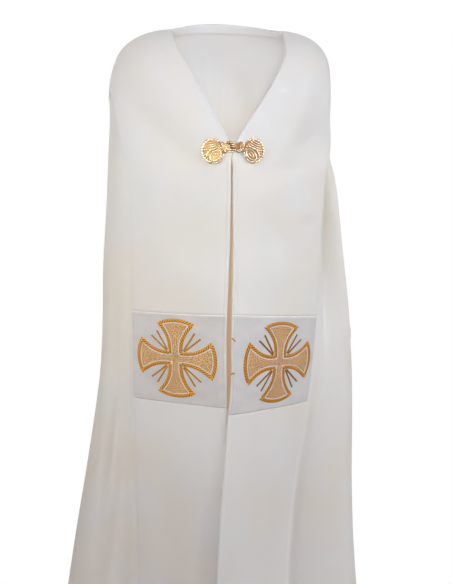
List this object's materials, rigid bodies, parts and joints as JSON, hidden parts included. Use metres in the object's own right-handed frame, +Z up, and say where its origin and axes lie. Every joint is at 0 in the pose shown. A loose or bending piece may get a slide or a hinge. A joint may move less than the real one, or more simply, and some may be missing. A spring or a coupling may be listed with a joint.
{
  "type": "cope (church cloak)",
  "caption": "Long open-fronted church cloak in ivory cloth, hanging in folds, with wide front bands, embroidered cross squares and a gilt hook clasp.",
  "frame": {"origin": "between the shoulders, level with the cloth beside the neck, where the wearer carries the cloak", "axes": "+Z up, the open front faces -Y, and left in the node names is the side at -X"},
  "size_m": [0.6672, 0.4295, 1.4142],
  "materials": {
    "mantle_cloth": "matte ivory plain weave",
    "band_cloth": "matte ivory plain weave over stiffening",
    "satin": "soft white satin, embroidered in gold",
    "gilt_brass": "cast and gilded, polished"
  },
  "bodies": {
    "root": {"mantle": "mantle_cloth", "orphrey_left": "band_cloth", "orphrey_right": "band_cloth", "orphrey_neck": "band_cloth", "satin_square_left": "satin", "satin_square_right": "satin", "clasp_eye_half": "gilt_brass", "clasp_hook_half": "gilt_brass"}
  },
  "joints": []
}
